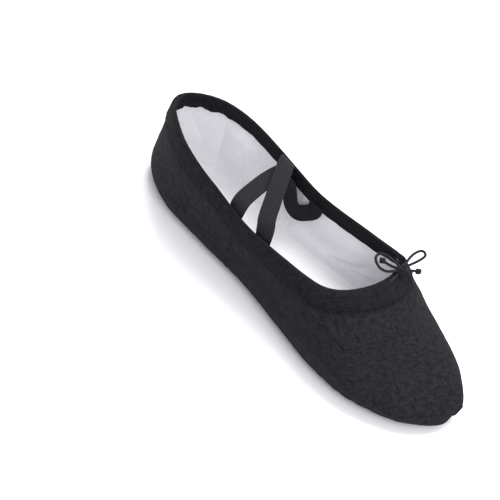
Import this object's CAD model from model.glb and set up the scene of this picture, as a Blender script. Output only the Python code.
"""Looks of a ballet slipper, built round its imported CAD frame.

The canvas, the lining and the casing are sheets of cloth over one form, the form of the
CAD solids. It is worked out here in millimetres in the slipper's own frame, and each
mesh is brought to the row frame, in metres, when it is made.
"""

import math

import bmesh
import bpy
import numpy as np
from mathutils import Matrix, Vector, noise


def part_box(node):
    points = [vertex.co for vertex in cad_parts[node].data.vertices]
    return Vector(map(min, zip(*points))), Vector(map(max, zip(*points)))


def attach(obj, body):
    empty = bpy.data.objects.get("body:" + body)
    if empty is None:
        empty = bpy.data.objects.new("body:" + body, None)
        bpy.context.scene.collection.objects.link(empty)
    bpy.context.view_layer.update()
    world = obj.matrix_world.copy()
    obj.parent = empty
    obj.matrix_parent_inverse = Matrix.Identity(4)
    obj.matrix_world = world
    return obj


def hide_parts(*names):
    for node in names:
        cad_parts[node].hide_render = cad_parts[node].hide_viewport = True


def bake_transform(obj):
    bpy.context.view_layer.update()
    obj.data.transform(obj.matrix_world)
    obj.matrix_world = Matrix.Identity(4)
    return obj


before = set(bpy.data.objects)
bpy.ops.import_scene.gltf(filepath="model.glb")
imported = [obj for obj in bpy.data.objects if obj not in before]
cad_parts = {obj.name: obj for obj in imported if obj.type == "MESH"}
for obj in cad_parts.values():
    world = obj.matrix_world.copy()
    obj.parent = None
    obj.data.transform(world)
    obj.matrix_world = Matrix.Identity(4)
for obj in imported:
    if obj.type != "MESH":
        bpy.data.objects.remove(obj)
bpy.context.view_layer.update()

# ------------ driving dimensions
MM = 0.001
LENGTH = 235.0
FULL_WIDTH = 100.0  # the width that the width shares refer to
FULL_CROWN = 80.0  # the height that the crown shares refer to
TOPLINE_HEIGHT = 43.0  # the opening's edge at the waist
INSTEP_LEAN = 12.0
INSTEP_START = -60.0
INSTEP_RUN = 100.0
TOE_TURN = 5.4
OUTER_BULGE = 8.0  # the outer wall stands out below its edge
WIDEST_LEVEL = 16.0
WALL_DEPTH = 35.0  # drawn in this far, a form closes
TOE_CORNER_SHARE = 0.42
SOLE_MARGIN = 9.0
SOLE = 1.2
CANVAS = 1.0
SHELL = 1.8  # canvas and lining together
CASING_CLOTH = 0.7
CASING_DROP = 10.0
TUNNEL_DEPTH = 3.2
CORD_DIAMETER = 1.6
CORD_DEPTH = 2.0
FRONT_SOLE = (60.0, 4.0, 65.0, 59.0)  # place along and across, length, width
HEEL_SOLE = (-83.5, 0.0, 44.0, 35.0)
PAD_TRIM = 6.0
PAD_THICKNESS = 2.0
SOCK_THICKNESS = 0.6
STRAP_WIDTH = 10.0
STRAP_THICKNESS = 1.0
STRAP_GAP = 1.4
STRAP_RIBS = 6
THREAD = 0.5
STITCH = 2.4
STITCH_PITCH = 3.8

WIDTH_SHARES = [(0, .91), (.13, .85), (.30, .69), (.42, .65), (.56, .74), (.70, .93),
                (.82, 1.05), (.92, 1.07), (1, .92)]
CROWN_SHARES = [(0, .10), (.14, .18), (.25, .24), (.35, .285), (.45, .36), (.55, .57),
                (.65, .77), (.74, .89), (.81, .98), (1, 1.03)]
TOPLINE_SHARES = [(0, 1.20), (.09, 1.275), (.25, 1.165), (.415, .995), (.585, 1.005),
                  (.70, 1.10)]
CASING_SHARES = [(0, 1.0), (.42, 1.0), (.56, .78), (.72, .65)]
INNER_CASING_SHARES = [(0, 1.0), (.56, 1.0), (.72, .95)]  # its leg inside the opening
TURN_SHARES = [(0, 0), (.5, 0), (1, 1)]
BULGE_SHARES = [(0, 0), (.14, .88), (.28, 1), (.44, .85), (.52, .62), (.62, .5), (.70, .22),
                (.76, 0)]
SEAM_LINE = [(-1, -26.5), (26, -31.8), (43, -31.0), (100, -31.0)]  # level, place along

# The slipper's own frame and the row frame differ by where the front sole patch lies.
sole_low, sole_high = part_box("forefoot_sole")
SHIFT = np.array([(sole_low.x + sole_high.x) / 2 / MM - FRONT_SOLE[0],
                  (sole_low.y + sole_high.y) / 2 / MM - FRONT_SOLE[1], 0.0])


def row(point):
    """A point of the slipper's own frame, in the row frame."""
    return Vector((np.array(point, float) + SHIFT) * MM)


# ------------ camera and light
CAMERA_PLACE = (150.1, -459.0, 463.7)
CAMERA_TARGET = (-24.4, -21.0, 20.0)
CAMERA_ROLL = 28.7
CAMERA_LENS = 82.8
CAMERA_NEAR = 0.01  # metres, as are the lights' and the floor's sizes
LIGHTS = (("key", (-0.35, 0.45, 1.0), 15.0, 0.7),  # name, place, power in watts, width
          ("fill", (0.7, -0.5, 0.9), 6.0, 0.9))
SKY_COLOR = (0.96, 0.96, 1.0, 1)
FLOOR_COLOR = (0.93, 0.93, 0.945, 1)
FLOOR_HALF = 6.0


def make_camera():
    """A raised camera off the toe's outer side, rolled so that the slipper slants."""
    camera = bpy.data.objects.new("camera", bpy.data.cameras.new("camera"))
    bpy.context.scene.collection.objects.link(camera)
    place = row(CAMERA_PLACE)
    level = (row(CAMERA_TARGET) - place).to_track_quat("-Z", "Y").to_matrix()
    turned = level @ Matrix.Rotation(math.radians(CAMERA_ROLL), 3, "Z")
    camera.matrix_world = Matrix.Translation(place) @ turned.to_4x4()
    camera.data.lens = CAMERA_LENS
    camera.data.clip_start = CAMERA_NEAR
    bpy.context.scene.camera = camera


def make_light():
    """Plain soft studio light over a pale floor."""
    scene = bpy.context.scene
    scene.view_settings.view_transform = "Standard"
    world = bpy.data.worlds.new("studio")
    world.use_nodes = True
    sky = world.node_tree.nodes["Background"]
    sky.inputs["Color"].default_value = SKY_COLOR
    sky.inputs["Strength"].default_value = 1.0
    scene.world = world
    for name, place, power, width in LIGHTS:
        light = bpy.data.objects.new(name, bpy.data.lights.new(name, "AREA"))
        light.data.energy = power
        light.data.size = width
        light.location = place
        light.rotation_euler = (-Vector(place)).to_track_quat("-Z", "Y").to_euler()
        scene.collection.objects.link(light)


def make_floor():
    """A plain pale floor, larger than any view."""
    mesh = bpy.data.meshes.new("floor")
    corners = [(x * FLOOR_HALF, y * FLOOR_HALF, 0)
               for x, y in ((-1, -1), (1, -1), (1, 1), (-1, 1))]
    mesh.from_pydata(corners, [], [(0, 1, 2, 3)])
    floor = bpy.data.objects.new("floor", mesh)
    bpy.context.scene.collection.objects.link(floor)
    material, _, shader = new_material("floor", roughness=0.7, specular=0.2)
    shader.inputs["Base Color"].default_value = FLOOR_COLOR
    mesh.materials.append(material)


# ------------ materials
PICK_PITCH = 0.55  # of the elastic's cross threads


def new_material(name, roughness, specular=0.06, sheen=0.0):
    """A material with its node tree and its shader."""
    material = bpy.data.materials.new(name)
    material.use_nodes = True
    shader = material.node_tree.nodes["Principled BSDF"]
    shader.inputs["Roughness"].default_value = roughness
    shader.inputs["Specular IOR Level"].default_value = specular
    shader.inputs["Sheen Weight"].default_value = sheen
    return material, material.node_tree, shader


def add_node(tree, kind, **inputs):
    """A node of a kind, with the named inputs set."""
    node = tree.nodes.new(kind)
    for name, value in inputs.items():
        node.inputs[name.replace("_", " ")].default_value = value
    return node


def mixed(tree, factor, first, second):
    """A colour mix of two colours or sockets by a factor socket or number."""
    node = tree.nodes.new("ShaderNodeMix")
    node.data_type = "RGBA"
    # The node has an A, a B and a Result for each data type, so these go by number.
    factor_socket, first_socket, second_socket = (node.inputs[k] for k in (0, 6, 7))
    for socket, value in ((factor_socket, factor), (first_socket, first),
                          (second_socket, second)):
        if isinstance(value, bpy.types.NodeSocket):
            tree.links.new(value, socket)
        else:
            socket.default_value = value
    return node.outputs[2]


def noise_of(tree, place, scale, detail=2.0, stretch=None):
    """Noise with about as many blobs to the millimetre as the scale says."""
    node = add_node(tree, "ShaderNodeTexNoise", Scale=scale, Detail=detail)
    if stretch:
        mapping = add_node(tree, "ShaderNodeMapping", Scale=stretch)
        tree.links.new(place, mapping.inputs["Vector"])
        place = mapping.outputs["Vector"]
    tree.links.new(place, node.inputs["Vector"])
    return node.outputs["Fac"]


def bands(tree, place, pitch, direction):
    """Threads side by side, a pitch apart, each brightest along its middle."""
    wave_scale = math.pi / 10 / pitch  # the node's waves turn 20 radians to the unit
    node = add_node(tree, "ShaderNodeTexWave", Scale=wave_scale)
    node.bands_direction = direction
    tree.links.new(place, node.inputs["Vector"])
    return node.outputs["Fac"]


def cloth_place(tree):
    """The place on a piece's cloth, in millimetres."""
    return tree.nodes.new("ShaderNodeUVMap").outputs["UV"]


def paint(tree, shader, share, dark, light):
    """The shader's colour, between a dark and a light one."""
    colour = mixed(tree, share, (*dark, 1), (*light, 1))
    tree.links.new(colour, shader.inputs["Base Color"])


def bump(tree, shader, height, strength, depth):
    """Relief of a depth in millimetres."""
    node = add_node(tree, "ShaderNodeBump", Strength=strength, Distance=depth * MM)
    tree.links.new(height, node.inputs["Height"])
    tree.links.new(node.outputs["Normal"], shader.inputs["Normal"])


def woven(name, dark, light, pitch, sheen):
    """Plain-woven cloth: warp and weft over and under, with slubs and a faint mottle."""
    material, tree, shader = new_material(name, 0.9, sheen=sheen)
    place = cloth_place(tree)
    checker = add_node(tree, "ShaderNodeTexChecker", Scale=1 / pitch)
    tree.links.new(place, checker.inputs["Vector"])
    weave = mixed(tree, checker.outputs["Fac"], bands(tree, place, pitch, "X"),
                  bands(tree, place, pitch, "Y"))
    slub_scale = 1 / (3 * pitch)
    slub = noise_of(tree, place, slub_scale, detail=3.0, stretch=(1, 0.35, 1))
    cross_slub = noise_of(tree, place, slub_scale, detail=3.0, stretch=(0.35, 1, 1))
    mottle = noise_of(tree, place, scale=0.045, detail=3.0)
    threads = mixed(tree, 0.5, slub, cross_slub)
    contrast = add_node(tree, "ShaderNodeMapRange", From_Min=0.38, From_Max=0.62)
    tree.links.new(threads, contrast.inputs["Value"])
    share = mixed(tree, 0.6, weave, contrast.outputs["Result"])
    share = mixed(tree, 0.25, share, mottle)
    paint(tree, shader, share, dark, light)
    height = mixed(tree, 0.35, weave, contrast.outputs["Result"])
    bump(tree, shader, height, strength=0.6, depth=0.25)
    shader.inputs["Sheen Roughness"].default_value = 0.45
    return material


def suede(name, dark, light):
    """Napped split leather: short fibres, lighter specks and brushed patches."""
    material, tree, shader = new_material(name, 0.95, sheen=0.05)
    place = cloth_place(tree)
    fibre = noise_of(tree, place, scale=1.6, detail=4.0)
    brushed = noise_of(tree, place, scale=0.12, stretch=(1, 0.4, 1))
    specks = add_node(tree, "ShaderNodeMapRange", From_Min=0.55, From_Max=0.75)
    tree.links.new(fibre, specks.inputs["Value"])
    share = mixed(tree, 0.35, specks.outputs["Result"], brushed)
    paint(tree, shader, share, dark, light)
    bump(tree, shader, fibre, strength=0.5, depth=0.3)
    return material


def elastic(name, dark, light):
    """Ribbed elastic: fine cross threads over the ribs, which run the band's length."""
    material, tree, shader = new_material(name, 0.8, sheen=0.02)
    place = cloth_place(tree)
    picks = bands(tree, place, PICK_PITCH, "X")
    ribs = bands(tree, place, STRAP_WIDTH / STRAP_RIBS, "Y")
    fuzz = noise_of(tree, place, scale=1.2, detail=3.0)
    share = mixed(tree, 0.6, mixed(tree, 0.6, ribs, picks), fuzz)
    paint(tree, shader, share, dark, light)
    bump(tree, shader, mixed(tree, 0.5, picks, fuzz), strength=0.5, depth=0.15)
    return material


def twisted(name, dark, light, pitch):
    """Thread or cord: slanting strands, worked out from the place in space."""
    material, tree, shader = new_material(name, 0.7, sheen=0.03)
    scaled = add_node(tree, "ShaderNodeMapping", Scale=(1 / MM, 1 / MM, 1 / MM))
    tree.links.new(tree.nodes.new("ShaderNodeTexCoord").outputs["Object"],
                   scaled.inputs["Vector"])
    strands = bands(tree, scaled.outputs["Vector"], pitch, "DIAGONAL")
    fuzz = noise_of(tree, scaled.outputs["Vector"], scale=2.5, detail=3.0)
    share = mixed(tree, 0.4, strands, fuzz)
    paint(tree, shader, share, dark, light)
    bump(tree, shader, strands, strength=0.6, depth=0.15)
    return material


def felted(name, dark, light):
    """Felted padding: tangled fibres."""
    material, tree, shader = new_material(name, 0.95)
    place = cloth_place(tree)
    fibre = noise_of(tree, place, scale=0.9, detail=5.0)
    paint(tree, shader, fibre, dark, light)
    bump(tree, shader, fibre, strength=0.5, depth=0.3)
    return material


# Darkest and lightest colour, then the threads' pitch and a woven cloth's sheen.
MATERIALS = {
    "canvas": woven("canvas", (0.001, 0.001, 0.002), (0.029, 0.028, 0.032), 0.55, 0.02),
    "casing": woven("casing", (0.002, 0.002, 0.003), (0.020, 0.019, 0.022), 0.45, 0.02),
    "lining": woven("lining", (0.74, 0.73, 0.76), (0.86, 0.855, 0.875), 0.45, 0.03),
    "sock": woven("sock", (0.86, 0.855, 0.875), (0.97, 0.965, 0.98), 0.6, 0.03),
    "suede": suede("suede", (0.006, 0.006, 0.007), (0.055, 0.053, 0.054)),
    "foam": felted("foam", (0.62, 0.60, 0.57), (0.80, 0.79, 0.76)),
    "elastic": elastic("elastic", (0.004, 0.004, 0.005), (0.026, 0.025, 0.029)),
    "cord": twisted("cord", (0.005, 0.005, 0.006), (0.034, 0.033, 0.038), 0.5),
    "thread": twisted("thread", (0.003, 0.003, 0.004), (0.014, 0.013, 0.016), 0.25),
}


# ------------ the slipper's form
LEAN_GROWTH = 1.5  # the lean grows faster toward the crown
BULGE_PEAK = (2 / 3) ** 2 * (1 / 3)  # the highest that rise ** 2 * (1 - rise) comes to
HALVINGS = 40
SEAM_ROUNDS = 4
TURN_STEP = 0.01


def ramp(distance, run):
    """0 up to distance 0, then a steady rise to 1 over a run."""
    return np.clip(distance / run, 0.0, 1.0)


def hump(distance, width):
    """A smooth hump, one high where the distance is 0, that dies away past a width."""
    return np.exp(-(distance / width) ** 2)


def smooth(stations, at):
    """Values at places on a curve through the stations that never overshoots them."""
    places, values = np.array(stations, float).T
    chords = np.diff(values) / np.diff(places)
    slopes = np.zeros(len(places))
    slopes[0], slopes[-1] = chords[0], chords[-1]
    product = chords[:-1] * chords[1:]
    inner = 2 * product / np.where(product > 0, chords[:-1] + chords[1:], 1.0)
    slopes[1:-1] = np.where(product > 0, inner, 0.0)
    at = np.clip(at, places[0], places[-1])
    left = np.clip(np.searchsorted(places, at, side="right") - 1, 0, len(places) - 2)
    run = places[left + 1] - places[left]
    u = (at - places[left]) / run
    return ((1 + 2 * u) * (1 - u) ** 2 * values[left]
            + u * (1 - u) ** 2 * run * slopes[left]
            + u * u * (3 - 2 * u) * values[left + 1]
            + u * u * (u - 1) * run * slopes[left + 1])


def share_of(x, inset=0.0):
    """Share of the length from the heel, on a form that is drawn in by the inset."""
    return np.clip((x / (LENGTH / 2 - inset) + 1) / 2, 0.0, 1.0)


def topline(x):
    """Height of the opening's edge."""
    return TOPLINE_HEIGHT * smooth(TOPLINE_SHARES, share_of(x))


def casing_share(x):
    """The casing's drop, as a share of its full drop."""
    return smooth(CASING_SHARES, share_of(x))


def crown(x, inset):
    """Height at which the walls meet over the middle."""
    return FULL_CROWN * smooth(CROWN_SHARES, np.sqrt(1 - share_of(x, inset))) - inset


def widest_level(x):
    """Height at which the slipper is widest."""
    return np.minimum(WIDEST_LEVEL, TOE_CORNER_SHARE * crown(x, 0.0))


def middle_line(x, rise):
    """The section's middle, which leans to the inner side over the instep."""
    share = ramp(x - INSTEP_START, INSTEP_RUN)
    lean = INSTEP_LEAN * share * share * (3 - 2 * share) * rise ** LEAN_GROWTH
    return TOE_TURN * smooth(TURN_SHARES, share_of(x)) + lean


def wall(x, z, side, inset):
    """How far across the wall lies, on the side given as +1 or -1."""
    share = share_of(x, inset)
    half = FULL_WIDTH * smooth(WIDTH_SHARES, share) * np.sqrt(share * (1 - share))
    half = half * (1 - inset / WALL_DEPTH)
    top, widest = crown(x, inset), widest_level(x)
    rise = ramp(z - widest, np.maximum(top - widest, 1e-6))
    bulge = OUTER_BULGE * smooth(BULGE_SHARES, share) * rise ** 2 * (1 - rise) / BULGE_PEAK
    return (middle_line(x, rise) + side * half * np.sqrt(1 - rise * rise)
            - np.where(side < 0, bulge, 0.0))


def front_end(level_of, inset):
    """Place along at which the crown comes down to a level."""
    low, high = 0.0, LENGTH / 2 - inset
    if crown(high, inset) >= level_of(high):
        return high
    for _ in range(HALVINGS):
        middle = (low + high) / 2
        if crown(middle, inset) > level_of(middle):
            low = middle
        else:
            high = middle
    return low


class Ring:
    """A line round a form at a level that may vary along the slipper."""

    def __init__(self, level_of, inset):
        self.level_of = level_of
        self.inset = inset
        self.back = -LENGTH / 2 + inset
        self.front = front_end(level_of, inset)

    def along(self, turn):
        """Place along the slipper. Turn 0 is the front, and half a turn the heel."""
        return self.back + (self.front - self.back) * (1 + np.cos(turn)) / 2

    def plain(self, turn):
        """Points of the ring before its bottom corner is rounded."""
        x = self.along(turn)
        z = self.level_of(x) + 0 * x
        side = np.where(np.sin(turn) >= 0, 1.0, -1.0)
        return np.stack([x, wall(x, z, side, self.inset), z], axis=-1)

    def outward(self, turn):
        """Level directions out of the slipper, square to the ring."""
        along = self.plain(turn + TURN_STEP) - self.plain(turn - TURN_STEP)
        out = np.stack([along[..., 1], -along[..., 0], 0 * along[..., 0]], axis=-1)
        return out / np.linalg.norm(out, axis=-1, keepdims=True)

    def points(self, turn):
        """Points of the ring, drawn in where the bottom corner is round."""
        plain = self.plain(turn)
        widest = widest_level(plain[..., 0])
        floor = SOLE + self.inset
        rest = np.clip(1 - (plain[..., 2] - floor) / (widest - floor), 0.0, 1.0)
        corner = SOLE_MARGIN * (1 - np.sqrt(1 - rest * rest))
        return plain - self.outward(turn) * corner[..., None]

    def seam_turn(self):
        """The turn at which the ring meets the side seam."""
        x = SEAM_LINE[1][1]
        for _ in range(SEAM_ROUNDS):
            x = float(smooth(SEAM_LINE, self.level_of(x)))
        return math.acos(2 * (x - self.back) / (self.front - self.back) - 1)

    def half(self, front, count):
        """The turns of the ring's front or rear half, from seam to seam."""
        seam = self.seam_turn()
        if front:
            return np.linspace(-seam, seam, count)
        return np.linspace(seam, 2 * math.pi - seam, count)


# ------------ mesh helpers
RIM_ANGLE = math.radians(50)  # a cloth's edge turns sharper than this
CLOTH_WELD = 1e-5  # points closer than this are joined, in metres
FINE_WELD = 1e-6


def lengths(points):
    """Distance run along each line of a grid of points."""
    steps = np.linalg.norm(np.diff(points, axis=1), axis=-1)
    return np.concatenate([np.zeros((len(points), 1)), np.cumsum(steps, axis=1)], axis=1)


def cloth_places(points):
    """Texture places in millimetres over a grid of points."""
    across = lengths(points)
    across = across - across[:, across.shape[1] // 2:across.shape[1] // 2 + 1]
    down = lengths(points.transpose(1, 0, 2)).T
    return np.stack([across, down], axis=-1)


def normals_of(points):
    """Unit normals over a grid of points."""
    normal = np.cross(np.gradient(points, axis=0), np.gradient(points, axis=1))
    size = np.linalg.norm(normal, axis=-1, keepdims=True)
    return normal / np.maximum(size, 1e-9)


def mesh_object(name, points, faces, places, material):
    """An object from points in the slipper's own frame, with texture places."""
    mesh = bpy.data.meshes.new(name)
    flat = (np.asarray(points, float).reshape(-1, 3) + SHIFT) * MM
    mesh.from_pydata(flat.tolist(), [], faces)
    layer = mesh.uv_layers.new(name="UVMap")
    corners = np.zeros(len(mesh.loops), np.int32)
    mesh.loops.foreach_get("vertex_index", corners)
    layer.data.foreach_set("uv", places.reshape(-1, 2)[corners].astype(np.float32).ravel())
    mesh.materials.append(MATERIALS[material])
    for polygon in mesh.polygons:
        polygon.use_smooth = True
    piece = bpy.data.objects.new(name, mesh)
    bpy.context.scene.collection.objects.link(piece)
    return piece


def grid_faces(rows, columns):
    """Quads between the points of a grid."""
    corner = np.arange(rows * columns).reshape(rows, columns)
    quads = [corner[:-1, :-1], corner[1:, :-1], corner[1:, 1:], corner[:-1, 1:]]
    return np.stack([quad.ravel() for quad in quads], axis=1).tolist()


def tidy(piece, distance=CLOTH_WELD, fill_ends=False):
    """Join the points that coincide, and turn all faces outward."""
    work = bmesh.new()
    work.from_mesh(piece.data)
    bmesh.ops.remove_doubles(work, verts=work.verts, dist=distance)
    if fill_ends:
        rims = [edge for edge in work.edges if edge.is_boundary]
        bmesh.ops.holes_fill(work, edges=rims, sides=0)
    else:
        bmesh.ops.dissolve_degenerate(work, edges=work.edges, dist=distance / 10)
    bmesh.ops.recalc_face_normals(work, faces=work.faces)
    work.to_mesh(piece.data)
    work.free()


def apply_modifiers(piece):
    """The piece's modifiers become part of its mesh."""
    graph = bpy.context.evaluated_depsgraph_get()
    mesh = bpy.data.meshes.new_from_object(piece.evaluated_get(graph))
    piece.modifiers.clear()
    piece.data = mesh


def sheet_piece(name, points, material, thickness, offset):
    """Cloth of a thickness over a grid of points. Offset -1 puts it on the inner side."""
    piece = mesh_object(name, points, grid_faces(*points.shape[:2]), cloth_places(points),
                        material)
    tidy(piece)
    solid = piece.modifiers.new("thickness", "SOLIDIFY")
    solid.thickness = thickness * MM
    solid.offset = offset
    apply_modifiers(piece)
    piece.data.set_sharp_from_angle(angle=RIM_ANGLE)
    return piece


def closed_loft(name, rows, material, places):
    """A solid swept through closed sections, with its two ends filled."""
    piece = mesh_object(name, rows, grid_faces(*rows.shape[:2]), places, material)
    tidy(piece, FINE_WELD, fill_ends=True)
    return piece


def swell(points, scale, seed):
    """Smooth noise between -1 and 1 at each point, with blobs of about 1/scale."""
    flat = points.reshape(-1, 3)
    values = [noise.noise(Vector(point * scale) + Vector((seed, 0, 0))) for point in flat]
    return np.array(values).reshape(points.shape[:-1])


def bend_with_waist(piece):
    """The piece bends between the front and the rear half of the slipper."""
    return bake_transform(piece)


# ------------ canvas and lining
CANVAS_ROWS = 56
CANVAS_COLUMNS = 260
UNDER_ROWS = 18
ROW_CROWDING = 1.35  # the rows lie closer together toward the floor
UNDER_DRAW = 0.2  # how far flat sheets' rows draw in along the slipper
HALVES = (("vamp", True), ("heel", False))

# The gathers start at the front sole patch and die away outward, upward and to the heel.
PLEATS = 24
PLEAT_HEIGHT = 1.0
PLEAT_ROUNDNESS, PLEAT_BASE = 0.7, 0.65
PLEAT_WOBBLE = ((0.35, 5, 0.0), (0.2, 11, 1.0))  # height, how many, where they start
PLEAT_MIDDLE, PLEAT_REACH = 2.0, 20.0
PLEAT_LEVEL, PLEAT_FADE = 2.0, 7.0
PLEAT_TURN, PLEAT_TURN_FADE = 0.35, 0.8

SEAM_SWELL, SWELL_PLACE, SWELL_WIDTH = 0.22, 2.4, 1.6  # beside the side seam
SEAM_GROOVE, SEAM_GROOVE_WIDTH = 0.45, 0.7
EDGE_GROOVE, EDGE_GROOVE_WIDTH = 0.6, 0.9  # under the casing's lower edge
EDGE_GROOVE_LEVEL = 10.0  # the groove fades in from this level to twice it
CANVAS_SWELLS = ((0.35, 0.045, 3.0), (0.12, 0.16, 8.0))  # height, scale, seed
CANVAS_SEEN = 0.8  # of the cloth's thickness, to leave its relief room
LOWEST_CANVAS = 0.15

LINING_CLOTH = 0.6
LINING_FOLD, FOLD_SCALE, FOLD_SEED = 3.6, 0.05, 20.0
FOLD_TALLNESS = 0.3  # heights count less, so that the folds stand upright
FOLD_ROUNDNESS = 0.8
FINE_FOLD, FINE_SCALE, FINE_SEED = 0.15, 0.25, 5.0
FOLD_LEVEL, FOLD_FADE = 5.0, 12.0  # the lining is flat below this level
FOLD_TOP, FOLD_TOP_FADE = 2.0, 7.0  # and close under the casing
CREASES = ((-6.0, 9.0, 0.45, 16.0), (16.0, 12.0, 0.35, 12.0))  # start, level, slope, reach
CREASE_DEPTH, CREASE_WIDTH = 1.8, 2.6
CALM_PLACE, CALM_WIDTH, CALM = -30.0, 18.0, 0.8  # the folds are low beside the straps


def drawn_in(edge, share, level):
    """The edge of a flat sheet, drawn in to its middle by a share, at a level."""
    middle = middle_line(edge[:, 0], 0.0)
    x = edge[:, 0] * (1 - UNDER_DRAW * share)
    y = middle + (edge[:, 1] - middle) * (1 - share)
    return np.stack([x, y, level + 0 * x], axis=-1)


def shell_grid(front, inset):
    """Points of half a form, from below the opening's edge down and in to the midline."""
    floor = SOLE + inset
    rows = []
    for step in np.linspace(0, 1, CANVAS_ROWS):
        fall = 1 - (1 - step) ** ROW_CROWDING

        def level(x, fall=fall):
            return floor + (topline(x) - TUNNEL_DEPTH - floor) * (1 - fall)

        ring = Ring(level, inset)
        rows.append(ring.points(ring.half(front, CANVAS_COLUMNS)))
    edge = rows[-1]
    rows += [drawn_in(edge, share, edge[:, 2])
             for share in np.linspace(0, 1, UNDER_ROWS)[1:]]
    return np.array(rows)


def oval_distance(points, sole):
    """How far points lie outside an oval, along a ray from its middle, and which way."""
    along, across, length, width = sole
    x, y = points[..., 0] - along, points[..., 1] - across
    way = np.arctan2(y, x)
    reach = 1 / np.sqrt((np.cos(way) / (length / 2)) ** 2
                        + (np.sin(way) / (width / 2)) ** 2)
    return np.hypot(x, y) - reach, way


def pleats(points):
    """Height of the gathers that run out from the toe side of the front sole patch."""
    outside, way = oval_distance(points, FRONT_SOLE)
    wobble = sum(height * np.sin(count * way + start)
                 for height, count, start in PLEAT_WOBBLE)
    puff = np.abs(np.cos(PLEATS * way / 2 + wobble)) ** PLEAT_ROUNDNESS - PLEAT_BASE
    toward_toe = ramp(np.cos(way) + PLEAT_TURN, PLEAT_TURN_FADE)
    reach = 1 - ramp(np.abs(outside - PLEAT_MIDDLE), PLEAT_REACH)
    low = 1 - ramp(points[..., 2] - PLEAT_LEVEL, PLEAT_FADE)
    return PLEAT_HEIGHT * puff * toward_toe * reach * low


def seam_relief(points):
    """Height of the cloth beside the side seam: a groove between two soft swellings."""
    gap = np.abs(points[..., 0] - smooth(SEAM_LINE, points[..., 2]))
    return (SEAM_SWELL * hump(gap - SWELL_PLACE, SWELL_WIDTH)
            - SEAM_GROOVE * hump(gap, SEAM_GROOVE_WIDTH))


def casing_groove(points):
    """Height of the canvas under the casing's lower edge, which is sewn down tight."""
    drop = topline(points[..., 0]) - points[..., 2]
    gap = drop - CASING_DROP * casing_share(points[..., 0]) - EDGE_GROOVE_WIDTH
    raised = ramp(points[..., 2] - EDGE_GROOVE_LEVEL, EDGE_GROOVE_LEVEL)
    return -EDGE_GROOVE * hump(gap, EDGE_GROOVE_WIDTH) * raised


def make_canvas():
    """The canvas upper, front and rear, with its gathers, seam and soft unevenness."""
    for name, front in HALVES:
        points = shell_grid(front, 0.0)
        relief = pleats(points) + seam_relief(points) + casing_groove(points)
        relief += sum(height * swell(points, scale, seed)
                      for height, scale, seed in CANVAS_SWELLS)
        points = points + normals_of(points) * relief[..., None]
        points[..., 2] = np.maximum(points[..., 2], LOWEST_CANVAS)
        piece = sheet_piece(name + "_canvas_cloth", points, "canvas", CANVAS_SEEN * CANVAS, -1)
        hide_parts(name + "_canvas")
        bend_with_waist(piece)


def lining_creases(points):
    """Depth of the slanting creases in the inner side's lining, in front of the waist."""
    x, y, z = points[..., 0], points[..., 1], points[..., 2]
    total = 0.0 * x
    for start, level, slope, reach in CREASES:
        off_line = z - level - slope * (x - start)
        total += hump(off_line, CREASE_WIDTH) * hump(x - start - reach / 2, reach)
    return CREASE_DEPTH * total * (y > 0)


def make_lining():
    """The white cotton lining, with soft folds where it is slack."""
    for name, front in HALVES:
        points = shell_grid(front, SHELL)
        tall = points * (1.0, 1.0, FOLD_TALLNESS)
        depth = LINING_FOLD * np.abs(swell(tall, FOLD_SCALE, FOLD_SEED)) ** FOLD_ROUNDNESS
        depth += FINE_FOLD * np.abs(swell(points, FINE_SCALE, FINE_SEED))
        depth += lining_creases(points)
        below = topline(points[..., 0]) - points[..., 2] - CASING_DROP - FOLD_TOP
        depth *= ramp(below, FOLD_TOP_FADE) * ramp(points[..., 2] - FOLD_LEVEL, FOLD_FADE)
        depth *= 1 - CALM * hump(points[..., 0] - CALM_PLACE, CALM_WIDTH)
        points = points - normals_of(points) * depth[..., None]
        piece = sheet_piece(name + "_lining_cloth", points, "lining", LINING_CLOTH, 1)
        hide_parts(name + "_lining")
        bend_with_waist(piece)


# ------------ casing
CASING_COLUMNS = 420
FACE_POINTS = 9
FACE_START = 1.8  # the drop at which the strip's flat faces start
FOLD_ROUND = 1.6  # height of the round fold over the cord's tunnel
HOLLOW_ROUND = 0.9  # the round of the tunnel under the fold
HOLLOW_DROPS = (2.2, 6.0)
CLOTH_GAP = 0.05  # between the strip and the cloths that it folds over
HEM_DROP, HEM_INSET = 0.3, 0.35  # the round of the strip's two lower edges
INNER_INSET = 1.0  # past this inset a line is on the inner leg

# Waves round the casing: height, turning per millimetre run, and where they start.
PUCKERS = ((1.0, 1.25, 0.0), (0.6, 0.83, 1.3), (0.5, 2.1, 0.7))
SCALLOPS = ((1.0, 0.55, 0.0), (0.6, 0.31, 1.0))
LUMPS = ((1.0, 1.9, 0.0),)
REAR_RUN = 500.0  # the rear half takes the waves from this far on
PUCKER, PUCKER_SLACK = 0.45, 0.35
PUCKER_RISE = 0.12
CALM_PUCKER = 0.2  # their strength away from the throat and the heel
THROAT_PLACE, THROAT_WIDTH, THROAT_PUCKER = 44.0, 11.0, 0.7
HEEL_PLACE, HEEL_WIDTH, HEEL_PUCKER, HEEL_INNER_PUCKER = -112.0, 22.0, 0.25, 0.9
BUNCH_PLACE, BUNCH_WIDTHS = (39.0, 29.0), (6.0, 7.0)
BUNCH_HEIGHT, BUNCH_LUMP = 2.2, 0.8
BUNCH_FOOT = 0.5  # it ends this far below the casing's lower edge


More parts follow.
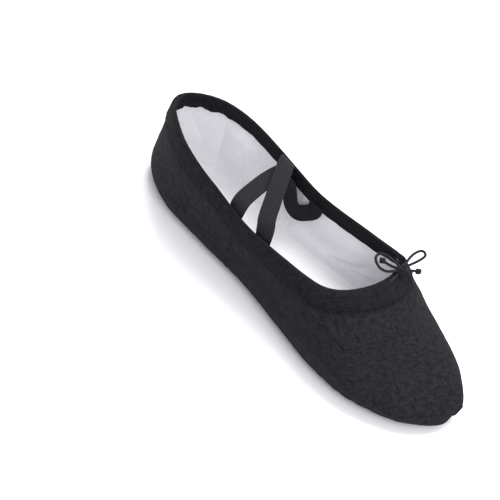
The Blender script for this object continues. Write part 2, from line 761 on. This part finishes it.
def casing_section():
    """Drop and inset of the folded strip's section, from its outer lower edge round."""
    out, inside = -CASING_CLOTH, SHELL + CASING_CLOTH
    middle, half = (out + inside) / 2, (inside - out) / 2
    face = list(np.linspace(CASING_DROP, FACE_START, FACE_POINTS))
    hollow = (*HOLLOW_DROPS, CASING_DROP)
    hem = CASING_DROP + HEM_DROP
    section = [(drop, out) for drop in face]
    for turn in np.linspace(0, math.pi, 11):
        section.append((FOLD_ROUND * (1 - math.sin(turn)), middle - half * math.cos(turn)))
    section += [(drop, inside) for drop in reversed(face)]
    section += [(hem, inside - HEM_INSET)]
    section += [(drop, SHELL + CLOTH_GAP) for drop in reversed(hollow)]
    for turn in np.linspace(0, math.pi, 5)[1:-1]:
        section.append((FACE_START - HOLLOW_ROUND * math.sin(turn),
                        middle + HOLLOW_ROUND * math.cos(turn)))
    section += [(drop, -CLOTH_GAP) for drop in hollow]
    section += [(hem, out + HEM_INSET)]
    return section + section[:1]


def waves(run, terms):
    """The sum of some waves at distances run, between -1 and 1."""
    total = sum(height * np.sin(run * pace + start) for height, pace, start in terms)
    return total / sum(height for height, _, _ in terms)


def pucker_strength(x, inner):
    """How strongly the casing puckers at a place along, on its inner or its outer leg."""
    at_heel = HEEL_INNER_PUCKER if inner else HEEL_PUCKER
    return (CALM_PUCKER + THROAT_PUCKER * hump(x - THROAT_PLACE, THROAT_WIDTH)
            + at_heel * hump(x - HEEL_PLACE, HEEL_WIDTH))


def throat_bunch(points, run):
    """How far the drawn-up casing stands higher beside the bow's knot, in lumps."""
    reach = (hump(points[:, 0] - BUNCH_PLACE[0], BUNCH_WIDTHS[0])
             * hump(points[:, 1] - BUNCH_PLACE[1], BUNCH_WIDTHS[1]))
    return reach * (BUNCH_HEIGHT + BUNCH_LUMP * waves(run, LUMPS))


def make_casing():
    """The folded strip round the opening, puckered by its drawstring."""
    for name, front in (("front", True), ("rear", False)):
        rows = []
        for drop, inset in casing_section():
            inner = inset > INNER_INSET
            shares = INNER_CASING_SHARES if inner else CASING_SHARES

            def level(x, drop=drop, shares=shares):
                share = smooth(shares, share_of(x)) if drop > min(HOLLOW_DROPS) else 1.0
                return topline(x) - drop * share

            ring = Ring(level, inset)
            turns = ring.half(front, CASING_COLUMNS)
            points = ring.points(turns)
            run = lengths(points[None])[0]
            run = run - run[-1] / 2 + (0 if front else REAR_RUN)
            puckers = waves(run, PUCKERS)
            strength = pucker_strength(points[:, 0], inner)
            down = drop / CASING_DROP
            slack = min(1.0, PUCKER_SLACK + down ** 2)
            puff = PUCKER * slack * strength * (puckers - 1 if inner else puckers)
            points = points + ring.outward(turns) * puff[:, None]
            points[:, 2] += throat_bunch(points, run) * (1 - drop / (CASING_DROP + BUNCH_FOOT))
            rise = waves(run, SCALLOPS) * down ** 3 if inner else PUCKER_RISE * puckers
            points[:, 2] += strength * rise
            rows.append(points)
        sections = np.array(rows).transpose(1, 0, 2)
        piece = closed_loft(name + "_casing_strip", sections, "casing",
                            cloth_places(sections))
        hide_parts(name + "_casing")
        bend_with_waist(piece)


# ------------ socks, pads, soles
SOCK_LAP = 0.03  # the front sock's turns reach this far over the heel's
SOCK_LIFT = 0.15  # and the front sock lies this much higher
SOCK_COLUMNS, SOCK_ROWS = 200, 24
SOCK_GAP = 0.1
SOCK_SWELL, SOCK_SCALE, SOCK_SEED, SOCK_SINK = 0.35, 0.05, 12.0, 0.25
OVAL_COLUMNS = 145
DISC_ROWS, EDGE_ROWS = 14, 9
SOLE_EDGE, PAD_EDGE = 0.55, 1.0  # how far in their round edges reach
SOLES = (("forefoot", FRONT_SOLE), ("heel", HEEL_SOLE))


def make_socks():
    """The insole lining, one sheet in front of the waist and one behind it."""
    level = SOLE + SHELL + PAD_THICKNESS + SOCK_THICKNESS
    for name, front in (("front", True), ("heel", False)):
        ring = Ring(lambda x: level - SOCK_THICKNESS / 2, SHELL + SOCK_GAP)
        lap, lift = (SOCK_LAP, SOCK_LIFT) if front else (0.0, 0.0)
        turns = ring.half(front, SOCK_COLUMNS)
        edge = ring.points(turns * (1 + lap))
        points = np.array([drawn_in(edge, share, level + lift)
                           for share in np.linspace(0, 1, SOCK_ROWS)])
        points[..., 2] += SOCK_SWELL * swell(points, SOCK_SCALE, SOCK_SEED) - SOCK_SINK
        piece = sheet_piece(name + "_sock_cloth", points, "sock", SOCK_THICKNESS, -1)
        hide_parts(name + "_sock")
        bend_with_waist(piece)


def oval_piece(name, sole, trim, profile, material):
    """A flat oval with a rounded edge. The profile gives distance in and level, in turn."""
    turns = np.linspace(0, 2 * math.pi, OVAL_COLUMNS)
    rows = []
    for inward, level in profile:
        across = (sole[2] - trim) / 2 - inward
        deep = (sole[3] - trim) / 2 - inward
        if deep <= 0:  # the innermost row closes to one point
            across, deep = 0.0, 0.0
        x = sole[0] + across * np.cos(turns)
        y = sole[1] + deep * np.sin(turns)
        rows.append(np.stack([x, y, 0 * x + level], axis=-1))
    points = np.array(rows)
    piece = mesh_object(name, points, grid_faces(*points.shape[:2]), points[..., :2],
                        material)
    tidy(piece)
    return piece


def disc_profile(reach, bottom, top, edge):
    """Profile of a rounded disc, from the middle of its underside to that of its top."""
    inward = np.linspace(reach, edge, DISC_ROWS)
    profile = [(value, bottom) for value in inward]
    middle, half = (bottom + top) / 2, (top - bottom) / 2
    for turn in np.linspace(-math.pi / 2, math.pi / 2, EDGE_ROWS)[1:-1]:
        profile.append((edge * (1 - math.cos(turn)), middle + half * math.sin(turn)))
    return profile + [(value, top) for value in inward[::-1]]


def make_soles():
    """The two suede patches under the slipper."""
    for body, sole in SOLES:
        name = body + "_sole"
        profile = disc_profile(min(sole[2], sole[3]) / 2, 0.0, SOLE, SOLE_EDGE)
        piece = oval_piece(name + "_suede", sole, 0.0, profile, "suede")
        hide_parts(name)
        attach(piece, body)


def make_pads():
    """The foam pads between the canvas and the socks."""
    base = SOLE + SHELL
    for body, sole in SOLES:
        name = body + "_pad"
        reach = (min(sole[2], sole[3]) - PAD_TRIM) / 2
        profile = disc_profile(reach, base, base + PAD_THICKNESS, PAD_EDGE)
        piece = oval_piece(name + "_foam", sole, PAD_TRIM, profile, "foam")
        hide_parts(name)
        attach(piece, body)


# ------------ tubes and threads
UPRIGHT_LIMIT = 0.1  # nearer to upright than this, a line starts sideways
STITCH_POINTS, STITCH_SIDES = 7, 8
STITCH_RISE, STITCH_DIP = 0.6, 0.7  # a stitch's bow, and how deep its ends dip
STITCH_TAPER = 0.45
CASING_TURNS = 900
ROW_UP = 1.0  # the row's height over the casing's lower edge
ROW_SINK = 0.02
ROW_AHEAD = 0.5
SOLE_ROWS = (2.5, 8.5)  # distances in from the sole patch's edge
SOLE_ROW_LEVEL = 0.05


def frames_along(points):
    """Two directions square to a line, and to each other, that turn as little as they can."""
    along = np.gradient(points, axis=0)
    along = along / np.linalg.norm(along, axis=1, keepdims=True)
    side = np.cross(along[0], (0.0, 0.0, 1.0))
    if np.linalg.norm(side) < UPRIGHT_LIMIT:
        side = np.cross(along[0], (1.0, 0.0, 0.0))
    sides = []
    for way in along:
        side = side - way * (side @ way)
        side = side / np.linalg.norm(side)
        sides.append(side)
    sides = np.array(sides)
    return sides, np.cross(along, sides)


def tube_rows(points, radii, sides):
    """Sections of a round tube along points, with a radius at each."""
    across, up = frames_along(points)
    turns = np.linspace(0, 2 * math.pi, sides + 1)
    ring = (np.cos(turns)[None, :, None] * across[:, None]
            + np.sin(turns)[None, :, None] * up[:, None])
    return points[:, None] + ring * np.asarray(radii)[:, None, None]


def joined(name, parts, material):
    """One mesh from several closed sweeps."""
    vertices, faces, places = [], [], []
    for rows in parts:
        first = sum(len(group) for group in vertices)
        count, columns = rows.shape[:2]
        vertices.append(rows.reshape(-1, 3))
        faces += [[corner + first for corner in face] for face in grid_faces(count, columns)]
        faces.append([first + corner for corner in range(columns - 1)])
        last = first + (count - 1) * columns
        faces.append([last + corner for corner in reversed(range(columns - 1))])
        places.append(cloth_places(rows).reshape(-1, 2))
    piece = mesh_object(name, np.concatenate(vertices), faces, np.concatenate(places),
                        material)
    tidy(piece, FINE_WELD)
    return piece


def stitch_rows(middle, along, out):
    """One stitch of thread, bowed out of the cloth between the holes it dips into."""
    steps = np.linspace(-1, 1, STITCH_POINTS)
    rise = (1 - steps ** 2)[:, None]
    points = (middle + steps[:, None] * np.array(along) * STITCH / 2
              + out * (rise - STITCH_DIP) * THREAD * STITCH_RISE)
    radii = THREAD / 2 * (1 - STITCH_TAPER * steps ** 4)
    return tube_rows(points, radii, STITCH_SIDES)


def at_run(middle, run, values):
    """The values' state at a distance along their run."""
    return np.array([np.interp(middle, run, values[:, k]) for k in range(3)])


def make_casing_stitching():
    """A row of stitches along the casing's lower edge, outside."""
    def level(x):
        return topline(x) - CASING_DROP * casing_share(x) + ROW_UP

    ring = Ring(level, -CASING_CLOTH)
    for name, front in (("front", True), ("rear", False)):
        turns = ring.half(front, CASING_TURNS)
        points = ring.points(turns)
        out = ring.outward(turns)
        run = lengths(points[None])[0]
        stitches = []
        for middle in np.arange(STITCH_PITCH / 2, run[-1], STITCH_PITCH):
            place = at_run(middle, run, points)
            ahead = at_run(middle + ROW_AHEAD, run, points)
            away = at_run(middle, run, out)
            along = (ahead - place) / max(np.linalg.norm(ahead - place), 1e-6)
            stitches.append(stitch_rows(place - away * ROW_SINK, along, away))
        piece = joined(name + "_casing_thread", stitches, "thread")
        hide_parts(name + "_casing_stitching")
        bend_with_waist(piece)


def make_sole_stitching():
    """Two rows of stitches round each sole patch, on its underside."""
    for body, sole in SOLES:
        name = body + "_sole"
        stitches = []
        for edge in SOLE_ROWS:
            across, deep = sole[2] / 2 - edge, sole[3] / 2 - edge
            count = int(math.pi * (across + deep) / STITCH_PITCH)
            for turn in np.arange(count) * 2 * math.pi / count:
                place = np.array([sole[0] + across * math.cos(turn),
                                  sole[1] + deep * math.sin(turn), SOLE_ROW_LEVEL])
                along = np.array([-across * math.sin(turn), deep * math.cos(turn), 0.0])
                along = along / np.linalg.norm(along)
                stitches.append(stitch_rows(place, along, (0.0, 0.0, -1.0)))
        piece = joined(name + "_thread", stitches, "thread")
        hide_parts(name + "_stitching")
        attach(piece, body)


# ------------ drawstring and bow
KNOT = np.array([44.0, 20.6, 50.2])
KNOT_TURN = math.radians(70)
KNOT_HALF, KNOT_STRAND = (3.5, 2.75, 2.5), 0.85  # half its sizes, and the cord's radius
END_KNOT_HALF, END_KNOT_STRAND = (1.9, 1.8, 1.6), 0.8
END_KNOT_TURN = 0.4
END_KNOT_AHEAD = 0.9 * CORD_DIAMETER  # its middle lies this far past the cord
KNOT_POINTS, KNOT_SIDES = 121, 14
STRING_POINTS, STRING_SIDES = 300, 10
STRING_START, STRING_END = math.radians(12), math.radians(355)
STRING_UNDER = 2.0  # its ends meet this far under the knot
LEFT_LENGTH, RIGHT_LENGTH = 49.2, 46.3
LEFT_CORD = [(42.0, 19.9, 51.0), (38.7, 19.8, 51.4), (35.0, 19.3, 51.4), (31.4, 18.9, 51.0),
             (28.9, 16.9, 50.2), (29.3, 13.7, 49.4), (32.2, 11.3, 48.8), (36.0, 10.3, 48.6),
             (39.4, 11.8, 48.7), (41.4, 15.0, 49.0), (43.2, 18.7, 49.3), (45.4, 23.0, 49.2),
             (47.4, 27.0, 48.6), (49.2, 30.4, 47.8)]
RIGHT_CORD = [(43.4, 22.4, 51.4), (42.6, 25.8, 52.5), (42.0, 29.2, 53.7), (42.0, 32.6, 54.7),
              (42.6, 35.2, 55.4), (43.6, 37.0, 56.0), (45.6, 37.4, 56.2), (47.2, 36.0, 55.8),
              (47.2, 33.6, 55.0), (46.5, 30.2, 53.6), (45.3, 26.8, 52.1), (44.2, 23.4, 50.6),
              (42.6, 20.6, 49.4), (40.2, 18.6, 48.9), (37.4, 17.4, 48.8), (34.4, 16.6, 48.8)]


def trefoil(name, centre, turn, half_sizes, radius, node):
    """A pulled-tight overhand knot of cord, which stands for a CAD node."""
    t = np.linspace(0, 2 * math.pi, KNOT_POINTS)
    shape = np.stack([(np.sin(t) + 2 * np.sin(2 * t)) / 2.7,
                      (np.cos(t) - 2 * np.cos(2 * t)) / 2.7, -np.sin(3 * t)], axis=-1)
    shape = shape * (np.array(half_sizes) - radius)
    rotation = np.array(Matrix.Rotation(turn, 3, "Z"))
    points = shape @ rotation.T + centre
    rows = tube_rows(points, np.full(len(points), radius), KNOT_SIDES)
    piece = joined(name, [rows], "cord")
    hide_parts(node)
    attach(piece, "forefoot")
    return piece


def free_cord(name, route, node):
    """One end of the drawstring, a smooth line through its route's control points."""
    curve = bpy.data.curves.new(name, "CURVE")
    curve.dimensions = "3D"
    curve.bevel_depth = CORD_DIAMETER / 2 * MM
    curve.bevel_resolution = 4
    curve.use_fill_caps = True
    spline = curve.splines.new("NURBS")
    spline.points.add(len(route) - 1)
    for control, point in zip(spline.points, route):
        control.co = (*row(point), 1)
    spline.order_u = 3
    spline.use_endpoint_u = True
    spline.resolution_u = 12
    curve.materials.append(MATERIALS["cord"])
    piece = bpy.data.objects.new(name, curve)
    bpy.context.scene.collection.objects.link(piece)
    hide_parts(node)
    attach(piece, "forefoot")


def make_bow():
    """The knot at the throat, and the two ends that come out of it in loops and tails."""
    trefoil("bow_knot_tied", KNOT, KNOT_TURN, KNOT_HALF, KNOT_STRAND, "bow_knot")
    for side, route, length in (("left", LEFT_CORD, LEFT_LENGTH),
                                ("right", RIGHT_CORD, RIGHT_LENGTH)):
        before, last = np.array(route[-2]), np.array(route[-1])
        ahead = (last - before) / np.linalg.norm(last - before)
        knot = trefoil("end_knot_%s_tied" % side, last + ahead * END_KNOT_AHEAD,
                       END_KNOT_TURN, END_KNOT_HALF, END_KNOT_STRAND, "end_knot_" + side)
        free_cord("bow_cord_%s_line" % side, route, "bow_cord_" + side)


def make_drawstring():
    """The drawstring inside its casing, out of it at both ends under the knot."""
    ring = Ring(lambda x: topline(x) - CORD_DEPTH, SHELL / 2)
    turns = np.linspace(STRING_START, STRING_END, STRING_POINTS)
    under = KNOT - (0.0, 0.0, STRING_UNDER)
    points = np.concatenate([[under + (0.4, 1.4, 0.0)], ring.points(turns),
                             [under - (0.0, 1.6, 0.0)]])
    radii = np.full(len(points), CORD_DIAMETER / 2)
    piece = joined("drawstring_cord", [tube_rows(points, radii, STRING_SIDES)], "cord")
    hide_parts("drawstring")
    bend_with_waist(piece)


# ------------ straps
OVER_STRAP = [((-20.4, -26.6, 46.8), (0, -.5, .8)), ((-23.8, -23.0, 49.4), (0, -.3, 1)),
              ((-29.4, -13.3, 51.4), (0, 0, 1)), ((-39.4, 5.0, 53.0), (0, 0, 1)),
              ((-44.8, 15.5, 53.0), (0, .2, 1)), ((-47.3, 21.0, 51.6), (0, .7, .7))]
UNDER_STRAP = [((-40.0, -27.4, 48.0), (0, -.5, .8)), ((-41.1, -22.2, 49.2), (0, -.2, 1)),
               ((-42.6, -10.6, 49.8), (0, 0, 1)), ((-43.7, -1.0, 49.6), (0, 0, 1)),
               ((-44.3, 9.1, 48.8), (0, .2, 1)), ((-44.2, 16.2, 46.8), (.2, .6, .8)),
               ((-42.3, 21.2, 42.8), (.3, 1, .4)), ((-39.8, 23.4, 37.6), (.2, 1, .1)),
               ((-37.2, 24.2, 31.6), (.1, 1, 0)), ((-33.8, 24.2, 26.0), (0, 1, -.1)),
               ((-28.8, 24.8, 23.6), (0, 1, -.1)), ((-24.4, 26.0, 26.0), (0, 1, 0))]
OVER_TABS = ((-17.6, -1, 36.0, 41.0), (-47.8, 1, 48.0, 40.0))
UNDER_TABS = ((-38.8, -1, 39.0, 44.0), (-20.4, 1, 30.5, 36.0))
BAND_POINTS = 12  # from one station to the next
RIB_COLUMNS = 8  # across each rib
RIB_BASE, RIB_HEIGHT, RIB_ROUNDNESS = 0.46, 0.04, 0.6  # as shares of the thickness
TAB_SHARES = (0.2, 0.65)  # where a tab's two stitch rows lie in its height
TAB_STEPS = (-3.0, 0.0, 3.0)


def tab_station(x, side, level):
    """A point of a strap's tab, against the inside of the casing, and its upper face's way."""
    inset = SHELL + CASING_CLOTH + STRAP_GAP + STRAP_THICKNESS / 2
    across = float(wall(x, level, side, inset))
    slope = float(wall(x, level + 1.0, side, inset)) - across
    return (x, across, level), (0, side, -side * slope)


def eased(values, count):
    """Values on a smooth line through those given, evenly spread over them."""
    values = np.array(values, float)
    padded = np.concatenate([2 * values[:1] - values[1:2], values,
                             2 * values[-1:] - values[-2:-1]])
    at = np.linspace(0, len(values) - 1 - 1e-9, count)
    left = at.astype(int)
    u = (at - left)[:, None]
    a, b, c, d = (padded[left + k] for k in range(4))
    return 0.5 * (2 * b + (c - a) * u + (2 * a - 5 * b + 4 * c - d) * u * u
                  + (3 * b - a - 3 * c + d) * u ** 3)


def strap_section():
    """Across and up shares of a ribbed band's section, going round it once."""
    across = np.linspace(-1, 1, RIB_COLUMNS * STRAP_RIBS + 1)
    arches = np.abs(np.sin(math.pi * STRAP_RIBS * (across + 1) / 2)) ** RIB_ROUNDNESS
    rib = RIB_BASE + RIB_HEIGHT * arches
    upper = np.stack([across, rib], axis=-1)
    lower = np.stack([across[::-1], -rib[::-1]], axis=-1)
    return np.concatenate([upper, lower, upper[:1]])


def make_strap(name, tabs, stations):
    """A ribbed elastic band from the casing on one side to the casing on the other."""
    (near_x, near_side, low, high), (far_x, far_side, start, end) = tabs
    band = [tab_station(near_x, near_side, low), tab_station(near_x, near_side, high)]
    band += [(point, np.array(way) / np.linalg.norm(way)) for point, way in stations]
    band += [tab_station(far_x, far_side, start), tab_station(far_x, far_side, end)]
    count = BAND_POINTS * len(band)
    middle = eased([point for point, _ in band], count)
    facing = eased([way for _, way in band], count)
    along = np.gradient(middle, axis=0)
    across = np.cross(along, facing)
    across = across / np.linalg.norm(across, axis=1, keepdims=True)
    up = np.cross(across, along)
    up = up / np.linalg.norm(up, axis=1, keepdims=True)
    section = strap_section()
    rows = (middle[:, None] + across[:, None] * section[None, :, :1] * STRAP_WIDTH / 2
            + up[:, None] * section[None, :, 1:] * STRAP_THICKNESS)
    places = cloth_places(rows.transpose(1, 0, 2)).transpose(1, 0, 2)
    piece = closed_loft(name + "_band", rows, "elastic", places)
    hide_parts(name)
    return piece


def make_strap_stitching(name, tabs):
    """Two rows of stitches across each tab of a strap, on its inner face."""
    stitches = []
    for x, side, low, high in tabs:
        for share in TAB_SHARES:
            for step in TAB_STEPS:
                point, way = tab_station(x + step, side, low + (high - low) * share)
                facing = -np.array(way, float)
                place = np.array(point) + facing * STRAP_THICKNESS / 2
                stitches.append(stitch_rows(place, (1.0, 0.0, 0.0), facing))
    piece = joined(name + "_thread", stitches, "thread")
    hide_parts(name + "_stitching")
    return piece


def make_straps():
    """The crossed straps: the taut one bends with the waist, the slack one swings."""
    bend_with_waist(make_strap("over_strap", OVER_TABS, OVER_STRAP))
    bend_with_waist(make_strap_stitching("over_strap", OVER_TABS))
    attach(make_strap("under_strap", UNDER_TABS, UNDER_STRAP), "under_strap")
    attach(make_strap_stitching("under_strap", UNDER_TABS), "under_strap")


# ------------ the scene
make_camera()
make_bow()
make_drawstring()
make_canvas()
make_lining()
make_casing()
make_casing_stitching()
make_socks()
make_pads()
make_soles()
make_sole_stitching()
make_straps()
make_light()
make_floor()
